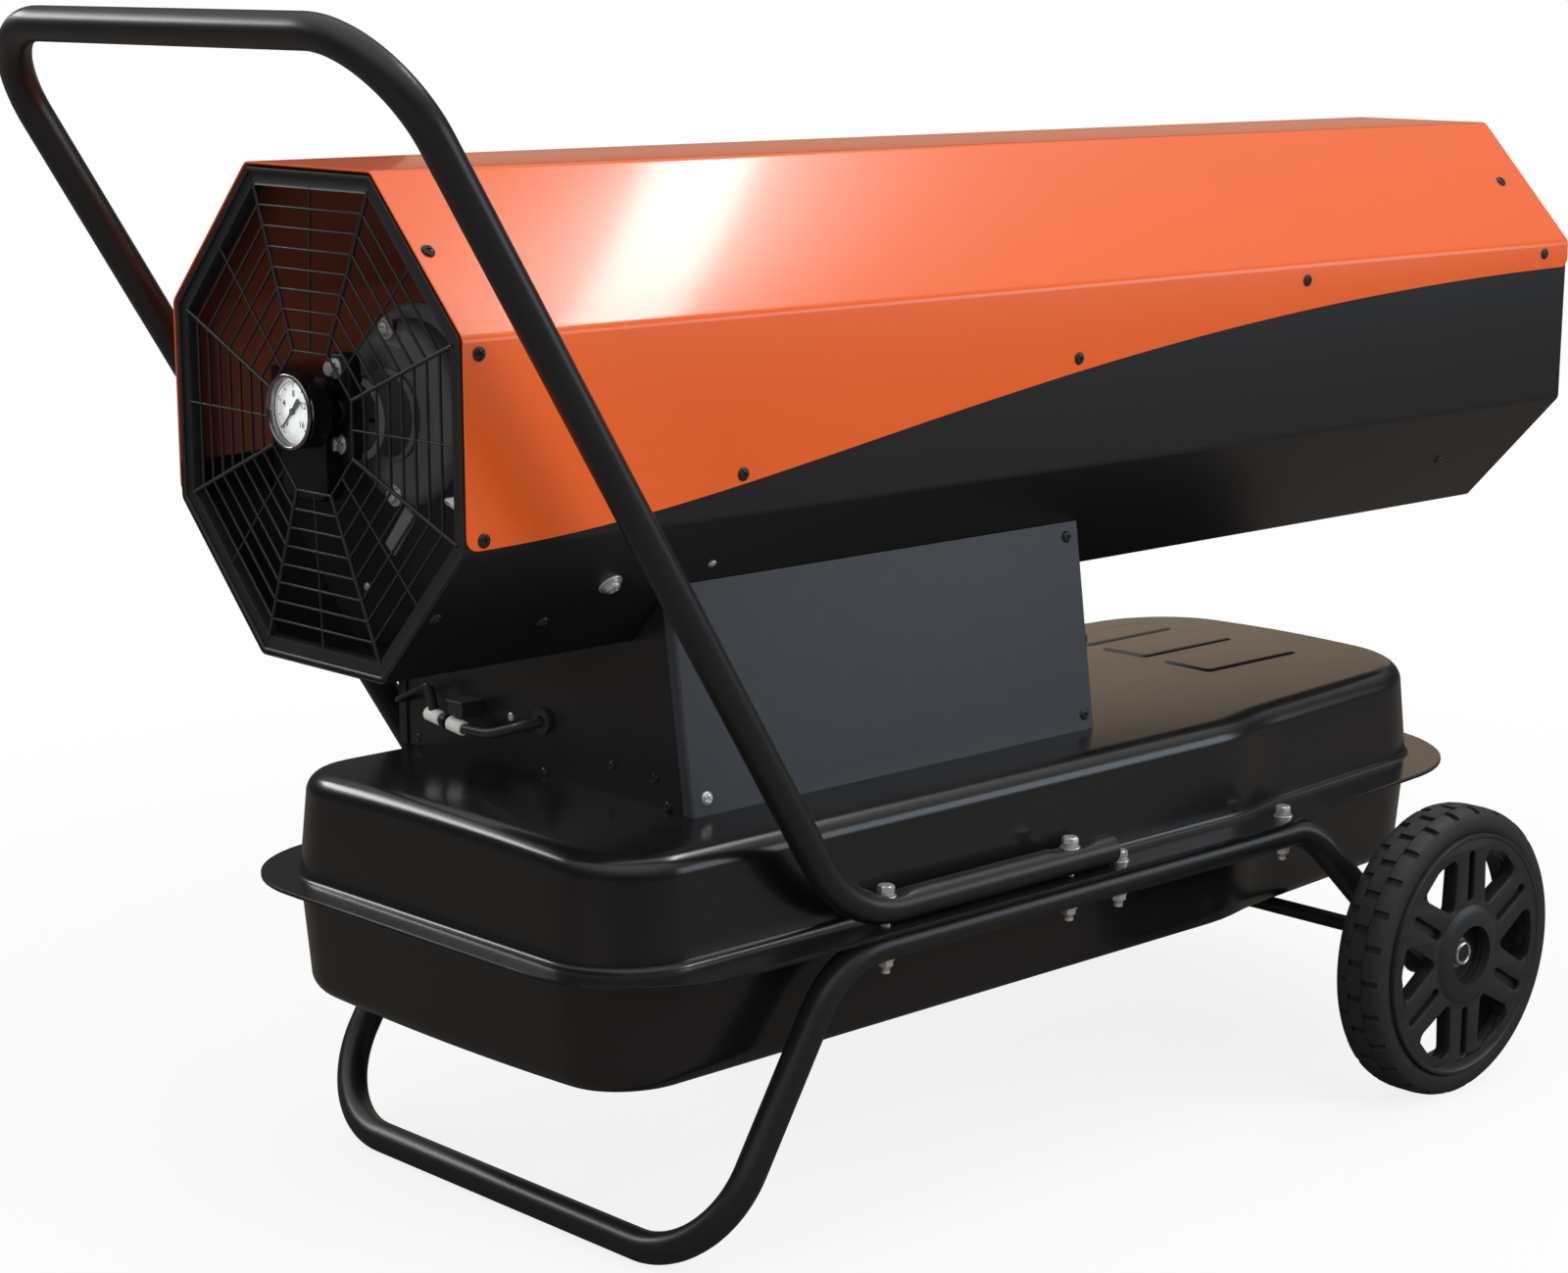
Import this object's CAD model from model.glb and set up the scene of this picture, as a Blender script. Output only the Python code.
"""Dressed model of a forced air heater, built round its solids."""

import math

import bmesh
import bpy
from mathutils import Matrix, Vector


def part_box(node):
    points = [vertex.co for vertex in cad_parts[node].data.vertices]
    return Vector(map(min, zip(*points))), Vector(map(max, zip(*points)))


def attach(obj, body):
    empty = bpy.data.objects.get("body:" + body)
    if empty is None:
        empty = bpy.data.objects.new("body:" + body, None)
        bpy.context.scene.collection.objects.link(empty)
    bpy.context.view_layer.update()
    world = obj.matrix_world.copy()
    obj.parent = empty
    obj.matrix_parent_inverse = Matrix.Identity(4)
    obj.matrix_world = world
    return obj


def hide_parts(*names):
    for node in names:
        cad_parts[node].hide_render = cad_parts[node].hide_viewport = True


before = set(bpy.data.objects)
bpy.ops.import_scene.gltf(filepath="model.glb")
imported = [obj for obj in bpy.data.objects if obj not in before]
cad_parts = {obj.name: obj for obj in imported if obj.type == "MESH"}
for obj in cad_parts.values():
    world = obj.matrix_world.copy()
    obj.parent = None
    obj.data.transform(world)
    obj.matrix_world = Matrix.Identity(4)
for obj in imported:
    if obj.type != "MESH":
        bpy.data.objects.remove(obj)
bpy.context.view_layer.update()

bl_info = {
    "name": "Forced air heater",
    "version": (1, 0, 0),
    "blender": (4, 5, 0),
    "location": "3D View > Sidebar > Heater",
    "description": "Builds the dressed pieces of a forced air heater on its solids",
    "category": "Object",
}

# ------------------------------------------------------------------ places
# Sizes are in mm and MM turns them into metres. FAN_END and AXIS, which come from the solids, are in metres.
MM = 0.001
SHELL_LOW, SHELL_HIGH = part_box("upper_shell")
SHELL_LENGTH = (SHELL_HIGH.x - SHELL_LOW.x) / MM
HALF_HEIGHT = 180.0  # from the housing's axis to its top and its bottom
HALF_WIDTH = 175.0  # from the axis to its sides
HALF_TOP = 75.0  # half the width of the top face
HALF_SIDE = 74.0  # half the height of a side face
FAN_END = SHELL_LOW.x
AXIS = SHELL_HIGH.z - HALF_HEIGHT * MM
SHEET_GAP = 0.3  # between the two shells, and between the flange and the tubes
TUBE = 12.5  # radius of the handle and the frame
SPREAD = 240.0  # from the middle to each straight run of tube
SEAT = 3.2  # how deep a tube is flattened under a bolt
BOLTS = (337.0, 544.0, 604.0, 816.0)  # the first two hold the handle, all four the frame
FLANGE = 242.4  # top of the tank's flange above the floor
LOW_FLANGE = FLANGE - 3.3  # its underside
PAN_HEIGHT = 80.6  # the upper pan above the flange
TANK_HALF = 216.0  # from the middle to the tank's wall
REACH, FRONT_REACH, REAR_REACH = 43.0, 29.0, 26.0  # of the flange beyond the wall, the first at the sides
WHEEL_X = 916.0
WHEEL_R = 126.5
BOX_X = 228.0  # front of the support box
COVER_LENGTH = 450.0
FRONT_WALL = 229.8


def here(x, y, z):
    """Point at x from the fan end, y across and z above the housing's axis, all in mm."""
    return Vector((FAN_END + x * MM, y * MM, AXIS + z * MM))


def ground(x, y, z):
    """Point at x from the fan end, y across and z above the floor, all in mm."""
    return Vector((FAN_END + x * MM, y * MM, z * MM))


# ------------------------------------------------------------------ settings
def colour(name, words, value):
    """A colour property with its name, its description and its default."""
    return bpy.props.FloatVectorProperty(
        name=name, description=words, subtype="COLOR", size=3, min=0, max=1, default=value)


def length(name, words, value):
    """A length property in metres."""
    return bpy.props.FloatProperty(
        name=name, description=words, subtype="DISTANCE", unit="LENGTH", min=0, default=value)


def share(name, words, value):
    """A property between 0 and 1."""
    return bpy.props.FloatProperty(
        name=name, description=words, subtype="FACTOR", min=0, max=1, default=value)


def light_strength(name, words, value):
    """A property for a strength of light."""
    return bpy.props.FloatProperty(name=name, description=words, min=0, max=5, default=value)


class FinishSettings(bpy.types.PropertyGroup):
    """Paints and plastics of the heater"""

    shell_orange: colour("Shell orange", "Gloss paint of the upper shell", (0.790, 0.115, 0.016))
    shell_gloss: share("Shell roughness", "How dull the orange paint is", 0.24)
    shell_black: colour("Shell black", "Satin paint of the lower shell and the box", (0.0085, 0.0085, 0.009))
    shell_inside: colour("Shell inside", "Thin red-brown coat inside the upper shell", (0.34, 0.088, 0.058))
    cover_black: colour("Cover black", "Paler satin paint of the box cover", (0.030, 0.033, 0.040))
    tank_black: colour("Tank black", "Paint of the fuel tank", (0.0055, 0.0055, 0.0058))
    tube_black: colour("Tube black", "Paint of the handle and the frame", (0.0085, 0.0085, 0.009))
    plastic_black: colour("Plastic black", "Moulded grille and knobs", (0.015, 0.015, 0.0155))
    wheel_black: colour("Wheel black", "Moulded wheel discs", (0.014, 0.0145, 0.016))
    tyre_black: colour("Tyre black", "Rubber of the tyres", (0.016, 0.0165, 0.018))


class HousingSettings(bpy.types.PropertyGroup):
    """Folded sheets of the housing"""

    sheet: length("Sheet", "Thickness of the folded sheet", 0.0015)
    fold: length("Fold radius", "Outside radius of the folds", 0.009)
    overlap: length("Overlap", "How far the lower shell tucks up inside the upper one", 0.025)


class TankSettings(bpy.types.PropertyGroup):
    """Pressed pans of the fuel tank"""

    rim: length("Rim round", "Radius of the pressed edge round the top", 0.017)
    bead: length("Bead", "Radius where the wall meets the flange", 0.006)
    crown: length("Crown", "How far the top and the bottom are arched", 0.006)


class WheelSettings(bpy.types.PropertyGroup):
    """Wheels and tyres"""

    blocks: bpy.props.IntProperty(
        name="Blocks", description="Tread blocks in one row", min=8, max=60, default=26)
    groove: length("Tread depth", "Depth of the tread", 0.0042)


class StageSettings(bpy.types.PropertyGroup):
    """Camera, lamps and floor"""

    lens: bpy.props.FloatProperty(
        name="Lens", description="Focal length of the camera", unit="CAMERA", min=10, max=300, default=74.96)
    horizon: light_strength("Low light", "Strength of the room light near the horizon", 0.06)
    dome: light_strength("High light", "Strength of the room light overhead", 1.0)


# ------------------------------------------------------------------ mesh helpers
def settle(name, mesh, material, body="heater", sharp=32.0, edge=0.0, rows=2):
    """Gives a mesh its object, its outward faces, its shading, its finish and its body.

    Edges sharper than an angle in degrees stay sharp. An edge width in mm softens them, in rows of faces.
    """
    shape = bmesh.new()
    shape.from_mesh(mesh)
    bmesh.ops.remove_doubles(shape, verts=shape.verts, dist=1e-7)
    bmesh.ops.recalc_face_normals(shape, faces=shape.faces)
    shape.to_mesh(mesh)
    shape.free()
    for face in mesh.polygons:
        face.use_smooth = True
    mesh.set_sharp_from_angle(angle=math.radians(sharp))
    piece = bpy.data.objects.new(name, mesh)
    bpy.context.scene.collection.objects.link(piece)
    piece.data.materials.append(material)
    if edge:
        soften = piece.modifiers.new("soft edge", "BEVEL")
        soften.width = edge * MM
        soften.segments = rows
        soften.limit_method = "ANGLE"
        soften.angle_limit = math.radians(sharp)
        soften.harden_normals = True
    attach(piece, body)
    return piece


def skin(rings, closed, first=False, last=False):
    """Points and faces over rings of equally many points, with flat ends where asked."""
    count = len(rings[0])
    span = count if closed else count - 1
    faces = []
    for r in range(len(rings) - 1):
        for i in range(span):
            a = r * count + i
            b = r * count + (i + 1) % count
            faces.append((a, b, b + count, a + count))
    if first:
        faces.append(tuple(reversed(range(count))))
    if last:
        faces.append(tuple((len(rings) - 1) * count + i for i in range(count)))
    return [p for ring in rings for p in ring], faces


class Heap:
    """Collects points and faces of several forms that make one piece."""

    def __init__(self):
        self.points = []
        self.faces = []

    def add(self, points, faces):
        """Adds points and the faces between them."""
        base = len(self.points)
        self.points.extend(points)
        self.faces.extend([tuple(base + i for i in f) for f in faces])
        return self

    def rings(self, rings, closed=True, first=True, last=True):
        """Adds a skin over rings of points."""
        return self.add(*skin(rings, closed, first, last))

    def make(self, name, material, body="heater", **extra):
        """Makes the piece and returns its object."""
        mesh = bpy.data.meshes.new(name)
        mesh.from_pydata([tuple(p) for p in self.points], [], self.faces)
        return settle(name, mesh, material, body, **extra)


def basis(origin, out, up=(0, 0, 1)):
    """Matrix whose Z axis points out and whose Y axis points as nearly up as it can."""
    z = Vector(out).normalized()
    y = Vector((0, 1, 0) if abs(z.z) > 0.99 else up)
    y = (y - z * y.dot(z)).normalized()
    x = y.cross(z)
    turn = Matrix((x, y, z)).transposed().to_4x4()
    return Matrix.Translation(origin) @ turn


def at(place, x, y, z):
    """Point in a place's own axes, in mm."""
    return place @ (Vector((x, y, z)) * MM)


def spin(step, steps):
    """Matrix of one step round the Z axis, out of the steps in a whole turn."""
    return Matrix.Rotation(2 * math.pi * step / steps, 4, "Z")


def degrees(angle):
    """Matrix that turns round the Z axis by an angle in degrees."""
    return Matrix.Rotation(math.radians(angle), 4, "Z")


def circle(radius, z, sides, place=None):
    """Ring of points round the Z axis of a place, radius and z in mm."""
    place = place or Matrix.Identity(4)
    step = 2 * math.pi / sides
    ring = []
    for i in range(sides):
        x, y = radius * MM * math.cos(i * step), radius * MM * math.sin(i * step)
        ring.append(place @ Vector((x, y, z * MM)))
    return ring


def lathe(heap, profile, place, sides, closed=False):
    """Turned form: profile is a list of (radius, height) in mm along the place's Z axis."""
    rings = [circle(max(r, 0.001), z, sides, place) for r, z in profile]
    if closed:
        rings.append(rings[0])
        return heap.rings(rings, True, False, False)
    return heap.rings(rings)


def rounded(corners, radius, step):
    """Closed outline with each corner replaced by an arc of chords that each turn about a step, in degrees.

    A radius may be given per corner.
    """
    points = []
    count = len(corners)
    for i, corner in enumerate(corners):
        size = radius[i] if isinstance(radius, (list, tuple)) else radius
        corner = Vector(corner)
        if size <= 0:
            points.append(corner)
            continue
        before = (Vector(corners[i - 1]) - corner).normalized()
        after = (Vector(corners[(i + 1) % count]) - corner).normalized()
        half = math.acos(max(-1, min(1, before.dot(after)))) / 2
        centre = corner + (before + after).normalized() * size / math.sin(half)
        start = corner + before * size / math.tan(half) - centre
        end = corner + after * size / math.tan(half) - centre
        turn = math.atan2(start.x * end.y - start.y * end.x, start.dot(end))
        chords = max(1, round(abs(math.degrees(turn)) / step))
        angle = math.atan2(start.y, start.x)
        for k in range(chords + 1):
            t = angle + turn * k / chords
            points.append(centre + Vector((math.cos(t), math.sin(t))) * size)
    return points


def inset(corners, amount):
    """Moves every edge of a counter-clockwise outline inwards."""
    moved = []
    count = len(corners)
    for i, corner in enumerate(corners):
        corner = Vector(corner)
        into = (corner - Vector(corners[i - 1])).normalized()
        out = (Vector(corners[(i + 1) % count]) - corner).normalized()
        normal = Vector((-into.y - out.y, into.x + out.x)).normalized()
        moved.append(corner + normal * amount / (normal.x * -into.y + normal.y * into.x))
    return moved


def octagon(amount, scale=1.0):
    """Corners of the housing's octagon as (y, z) in mm, counter-clockwise from the lower far side."""
    half = [(HALF_WIDTH, -HALF_SIDE), (HALF_WIDTH, HALF_SIDE),
            (HALF_TOP, HALF_HEIGHT), (-HALF_TOP, HALF_HEIGHT)]
    every = half + [(-y, -z) for y, z in half]
    return inset([(y * scale, z * scale) for y, z in every], amount)


def box_form(heap, low, high, place):
    """Plain block between two corners in mm, in a place's own axes."""
    (a, b, c), (d, e, f) = low, high
    rings = [[at(place, x, y, z) for x, y in ((a, b), (d, b), (d, e), (a, e))] for z in (c, f)]
    return heap.rings(rings)


def mesh_of(curve):
    """Mesh of a filled outline or of letters, which are removed."""
    carrier = bpy.data.objects.new(curve.name, curve)
    bpy.context.scene.collection.objects.link(carrier)
    bpy.context.view_layer.update()
    mesh = bpy.data.meshes.new_from_object(carrier.evaluated_get(bpy.context.evaluated_depsgraph_get()))
    bpy.data.objects.remove(carrier)
    bpy.data.curves.remove(curve)
    mesh.materials.clear()
    return mesh


def plate(name, outline, holes, depth, soft, material, place, body):
    """Flat piece with holes and rounded rims: outlines in mm, from z 0 to depth in the place's axes."""
    flat = bpy.data.curves.new(name, "CURVE")
    flat.dimensions = "2D"
    flat.fill_mode = "BOTH"
    flat.extrude = (depth / 2 - soft) * MM
    flat.bevel_depth = soft * MM
    flat.bevel_resolution = 1
    flat.offset = -soft * MM
    for points in [outline, *holes]:
        line = flat.splines.new("POLY")
        line.points.add(len(points) - 1)
        for spot, point in zip(line.points, points):
            spot.co = (point[0] * MM, point[1] * MM, 0, 1)
        line.use_cyclic_u = True
    mesh = mesh_of(flat)
    mesh.name = name
    mesh.transform(Matrix.Translation((0, 0, depth / 2 * MM)))
    mesh.transform(place)
    return settle(name, mesh, material, body)


def bend_path(corners, radii, step, pitch):
    """Centre line through corners, in metres, with an arc at each inner corner.

    A step is the most degrees that an arc turns between two points, and pitch the longest straight stretch.
    """
    corners = [Vector(c) for c in corners]
    points = [corners[0]]

    def run_to(target):
        """Adds a straight stretch up to a point."""
        start = points[-1]
        gap = (target - start).length
        cuts = max(1, math.ceil(gap / pitch))
        points.extend(start.lerp(target, k / cuts) for k in range(1, cuts + 1))

    for i, size in enumerate(radii, 1):
        into = (corners[i] - corners[i - 1]).normalized()
        out = (corners[i + 1] - corners[i]).normalized()
        turn = into.angle(out)
        begin = corners[i] - into * size * math.tan(turn / 2)
        side = (out - into * into.dot(out)).normalized()
        centre = begin + side * size
        run_to(begin)
        chords = max(2, round(math.degrees(turn) / step))
        for k in range(1, chords + 1):
            t = turn * k / chords
            points.append(centre - side * size * math.cos(t) + into * size * math.sin(t))
    run_to(corners[-1])
    return points


def tube_rings(path, radius, sides, shape=None):
    """Rings of a round tube along a path, in metres; shape may move each offset from the centre line."""
    count = len(path)
    heading = [(path[min(i + 1, count - 1)] - path[max(i - 1, 0)]).normalized() for i in range(count)]
    side = heading[0].orthogonal().normalized()
    rings = []
    for i, point in enumerate(path):
        if i:
            side = (heading[i - 1].rotation_difference(heading[i]) @ side)
            side = (side - heading[i] * side.dot(heading[i])).normalized()
        other = heading[i].cross(side)
        ring = []
        for k in range(sides):
            t = 2 * math.pi * k / sides
            offset = (side * math.cos(t) + other * math.sin(t)) * radius
            ring.append(point + (shape(point, offset) if shape else offset))
        rings.append(ring)
    return rings


# ------------------------------------------------------------------ finishes
BUMP_DISTANCE = 0.0002  # metres
DUST_COLOUR = (0.42, 0.40, 0.37)
DUST_ON_PLASTIC = (0.30, 0.29, 0.27)
VALUE, COLOUR = "NodeSocketFloat", "RGBA"


def group(name, inputs, outputs):
    """New shader node group with value sockets; returns the group, its inputs and its end node."""
    made = bpy.data.node_groups.new(name, "ShaderNodeTree")
    for label, value in inputs.items():
        made.interface.new_socket(label, in_out="INPUT", socket_type=VALUE).default_value = value
    for label in outputs:
        made.interface.new_socket(label, in_out="OUTPUT", socket_type=VALUE)
    return made, made.nodes.new("NodeGroupInput").outputs, made.nodes.new("NodeGroupOutput")


def feed(tree, value, socket):
    """Links a socket to another one, or sets it to a number, a vector or a colour."""
    if isinstance(value, bpy.types.NodeSocket):
        tree.links.new(value, socket)
    else:
        socket.default_value = value


def node(tree, kind, links=None, **values):
    """Adds a node; values set its attributes or its inputs, links feed its inputs by name or number."""
    made = tree.nodes.new("ShaderNode" + kind)
    for key, value in values.items():
        if hasattr(made, key):
            setattr(made, key, value)
        else:
            made.inputs[key.replace("_", " ")].default_value = value
    for key, value in (links or {}).items():
        feed(tree, value, made.inputs[key])
    return made


def maths(tree, operation, *values, clamp=False):
    """Result of a sum on numbers and sockets."""
    return node(tree, "Math", dict(enumerate(values)), operation=operation, use_clamp=clamp).outputs[0]


def noise(tree, scale, detail, roughness=0.5, vector=None):
    """Noise over the piece's own space, from about 0 to 1."""
    place = vector or node(tree, "TexCoord").outputs["Object"]
    links = {"Vector": place, "Scale": scale, "Detail": detail, "Roughness": roughness}
    return node(tree, "TexNoise", links).outputs["Fac"]


def ramp(tree, source, low, high, out_low=0.0, out_high=1.0, smooth=False):
    """Maps a value from the range low to high onto another range."""
    links = {"Value": source, "From Min": low, "From Max": high, "To Min": out_low, "To Max": out_high}
    kind = "SMOOTHSTEP" if smooth else "LINEAR"
    return node(tree, "MapRange", links, interpolation_type=kind).outputs["Result"]


def send(tree, outside, **values):
    """Links values to the end node of a group."""
    for name, value in values.items():
        tree.links.new(value, outside.inputs[name])


def paint_film_group():
    """Sprayed or powder coat film: fine waves in height, a little change in gloss and shade."""
    made, inside, outside = group(
        "Paint film", {"Scale": 400.0, "Gloss Change": 0.05, "Roughness": 0.3, "Shade Change": 0.1},
        ("Height", "Roughness", "Shade"))
    waves = noise(made, inside["Scale"], 2.0)
    blotch = noise(made, 7.0, 4.0)
    rough = maths(made, "ADD", maths(made, "MULTIPLY", blotch, inside["Gloss Change"]), inside["Roughness"])
    spread = maths(made, "MULTIPLY", maths(made, "SUBTRACT", blotch, 0.5), inside["Shade Change"])
    send(made, outside, Height=waves, Roughness=rough, Shade=maths(made, "ADD", spread, 1.0))


def handling_group():
    """Wear on edges and light dust on faces that look up, as two masks."""
    made, inside, outside = group("Handling marks", {"Wear": 0.3, "Dust": 0.1}, ("Wear", "Dust"))
    form = node(made, "NewGeometry").outputs
    edges = ramp(made, form["Pointiness"], 0.53, 0.60)
    broken = ramp(made, noise(made, 60.0, 5.0), 0.45, 0.65)
    wear = maths(made, "MULTIPLY", maths(made, "MULTIPLY", edges, broken), inside["Wear"], clamp=True)
    upward = node(made, "SeparateXYZ", {0: form["Normal"]}).outputs["Z"]
    settled = ramp(made, noise(made, 18.0, 6.0, 0.7), 0.35, 0.75)
    lying = maths(made, "MULTIPLY", ramp(made, upward, 0.4, 1.0), settled)
    send(made, outside, Wear=wear, Dust=maths(made, "MULTIPLY", lying, inside["Dust"], clamp=True))


def grain_group():
    """Spark-eroded grain of moulded plastic and rubber."""
    made, inside, outside = group("Moulded grain", {"Scale": 900.0}, ("Height", "Shade"))
    shade = maths(made, "MULTIPLY_ADD", noise(made, 9.0, 4.0), 0.35, 0.82)
    send(made, outside, Height=noise(made, inside["Scale"], 3.0), Shade=shade)


def rolled_metal_group():
    """Drawn or rolled metal: streaks along one axis, and heat or age tint."""
    made, inside, outside = group(
        "Rolled metal", {"Scale": 120.0, "Roughness": 0.3}, ("Height", "Roughness", "Tint"))
    place = node(made, "TexCoord").outputs["Object"]
    along = node(made, "Mapping", {"Vector": place, "Scale": (0.08, 1.0, 1.0)}).outputs[0]
    streak = noise(made, inside["Scale"], 4.0, vector=along)
    rough = maths(made, "MULTIPLY_ADD", streak, 0.18, inside["Roughness"])
    send(made, outside, Height=streak, Roughness=rough, Tint=noise(made, 11.0, 5.0, vector=place))


FINISH = {}


def shader(name):
    """New material, its tree and its surface shader."""
    made = bpy.data.materials.new(name)
    made.use_nodes = True
    FINISH[name] = made
    return made, made.node_tree, made.node_tree.nodes["Principled BSDF"].inputs


def placed(tree, name, **values):
    """Outputs of one of the shared groups, placed in a material with its own values."""
    made = tree.nodes.new("ShaderNodeGroup")
    made.node_tree = bpy.data.node_groups[name]
    for key, value in values.items():
        made.inputs[key.replace("_", " ")].default_value = value
    return made.outputs


def blend(tree, low, high, mask, how="MIX"):
    """Colour between two, which are colours or sockets."""
    made = node(tree, "Mix", {"Factor": mask}, data_type=COLOUR, blend_type=how)
    for value, socket in ((low, made.inputs[6]), (high, made.inputs[7])):
        feed(tree, (*value, 1) if isinstance(value, tuple) else value, socket)
    return made.outputs[2]


def bump(tree, shade, height, strength):
    """Joins a height to the shader's normal."""
    made = node(tree, "Bump", {"Height": height}, Strength=strength, Distance=BUMP_DISTANCE)
    tree.links.new(made.outputs["Normal"], shade["Normal"])


def paint(name, value, roughness, coat=0.0, waves=300.0, strength=0.12, wear=0.25, dust=0.05,
          under=(0.06, 0.06, 0.065)):
    """A sprayed paint with its film, its worn edges and a little dust."""
    _, tree, shade = shader(name)
    film = placed(tree, "Paint film", Scale=waves, Roughness=roughness, Gloss_Change=0.02, Shade_Change=0.05)
    marks = placed(tree, "Handling marks", Wear=wear, Dust=dust)
    base = blend(tree, value, film["Shade"], 1.0, "MULTIPLY")
    base = blend(tree, base, under, marks["Wear"])
    base = blend(tree, base, DUST_COLOUR, marks["Dust"])
    tree.links.new(base, shade["Base Color"])
    tree.links.new(film["Roughness"], shade["Roughness"])
    shade["Coat Weight"].default_value = coat
    shade["Coat Roughness"].default_value = 0.09
    bump(tree, shade, film["Height"], strength)


def moulded(name, value, roughness, scale=900.0, strength=0.1, dust=0.05):
    """Moulded plastic or rubber with its grain."""
    _, tree, shade = shader(name)
    grain = placed(tree, "Moulded grain", Scale=scale)
    marks = placed(tree, "Handling marks", Wear=0.12, Dust=dust)
    base = blend(tree, value, grain["Shade"], 1.0, "MULTIPLY")
    base = blend(tree, base, tuple(min(1, c * 2.2 + 0.02) for c in value), marks["Wear"])
    base = blend(tree, base, DUST_ON_PLASTIC, marks["Dust"])
    tree.links.new(base, shade["Base Color"])
    shade["Roughness"].default_value = roughness
    bump(tree, shade, grain["Height"], strength)


def metal(name, value, roughness, tint, scale=120.0, strength=0.05, bare=1.0):
    """Bare or plated metal with its rolling streaks and tint; plating is less bare."""
    _, tree, shade = shader(name)
    rolled = placed(tree, "Rolled metal", Scale=scale, Roughness=roughness)
    tree.links.new(blend(tree, value, tint, rolled["Tint"]), shade["Base Color"])
    tree.links.new(rolled["Roughness"], shade["Roughness"])
    shade["Metallic"].default_value = bare
    bump(tree, shade, rolled["Height"], strength)


def clear_lens(name):
    """Clear plastic lens with faint smears."""
    _, tree, shade = shader(name)
    grain = placed(tree, "Moulded grain", Scale=40.0)
    tint = blend(tree, (0.95, 0.97, 0.98), grain["Shade"], 1.0, "MULTIPLY")
    tree.links.new(tint, shade["Base Color"])
    shade["Transmission Weight"].default_value = 1.0
    shade["Roughness"].default_value = 0.04
    shade["IOR"].default_value = 1.2


def make_finishes(settings):
    """Builds the shared groups and every finish of the heater."""
    for build in (paint_film_group, handling_group, grain_group, rolled_metal_group):
        build()
    paint("shell orange", tuple(settings.shell_orange), settings.shell_gloss, coat=0.35, waves=240.0,
          strength=0.16, wear=0.10, dust=0.02, under=(0.50, 0.30, 0.22))
    paint("shell inside", tuple(settings.shell_inside), 0.40, waves=400.0, strength=0.2, wear=0.0, dust=0.0)
    paint("shell black", tuple(settings.shell_black), 0.32, waves=520.0, strength=0.20, wear=0.0, dust=0.02)
    paint("cover black", tuple(settings.cover_black), 0.36, waves=520.0, strength=0.16, wear=0.2, dust=0.02)
    paint("tank black", tuple(settings.tank_black), 0.22, coat=0.2, waves=600.0,
          strength=0.015, wear=0.15, dust=0.02)
    paint("tube black", tuple(settings.tube_black), 0.34, coat=0.05, waves=600.0, strength=0.10, dust=0.02)
    paint("screw black", (0.012, 0.012, 0.013), 0.25, waves=900.0, wear=0.6, dust=0.0,
          under=(0.25, 0.25, 0.26))
    paint("pump black", (0.0035, 0.0035, 0.004), 0.42, waves=500.0, strength=0.2, wear=0.0, dust=0.0)
    paint("motor grey", (0.075, 0.074, 0.073), 0.45, waves=450.0, strength=0.25, wear=0.1, dust=0.0)
    paint("plate grey", (0.14, 0.145, 0.15), 0.30, strength=0.05, wear=0.1, dust=0.0)
    moulded("grille plastic", tuple(settings.plastic_black), 0.42, strength=0.06, dust=0.02)
    moulded("control plastic", (0.02, 0.02, 0.021), 0.38)
    moulded("wheel plastic", tuple(settings.wheel_black), 0.40, scale=1100.0, strength=0.16)
    moulded("tyre rubber", tuple(settings.tyre_black), 0.62, scale=700.0, strength=0.25, dust=0.12)
    moulded("hose rubber", (0.018, 0.018, 0.019), 0.45, scale=500.0)
    moulded("white nylon", (0.80, 0.80, 0.78), 0.42, strength=0.05, dust=0.0)
    moulded("dial white", (0.86, 0.86, 0.84), 0.5, scale=300.0, strength=0.02, dust=0.0)
    moulded("dial ink", (0.02, 0.02, 0.025), 0.5, dust=0.0)
    moulded("mark white", (0.75, 0.75, 0.74), 0.5, dust=0.0)
    moulded("lamp amber", (0.85, 0.30, 0.03), 0.2, dust=0.0)
    moulded("board green", (0.03, 0.15, 0.06), 0.4)
    moulded("white ceramic", (0.75, 0.72, 0.65), 0.35)
    metal("bright zinc", (0.74, 0.75, 0.77), 0.22, (0.82, 0.82, 0.80), bare=0.8)
    metal("chrome", (0.78, 0.79, 0.80), 0.10, (0.70, 0.71, 0.73), bare=0.9)
    metal("dark chrome", (0.30, 0.30, 0.31), 0.10, (0.24, 0.24, 0.25))
    metal("turned steel", (0.40, 0.41, 0.42), 0.30, (0.52, 0.51, 0.50))
    metal("heated steel", (0.36, 0.31, 0.26), 0.38, (0.20, 0.19, 0.22))
    metal("cast alloy", (0.42, 0.43, 0.44), 0.45, (0.50, 0.50, 0.50), scale=300.0, strength=0.25)
    clear_lens("clear lens")


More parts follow.
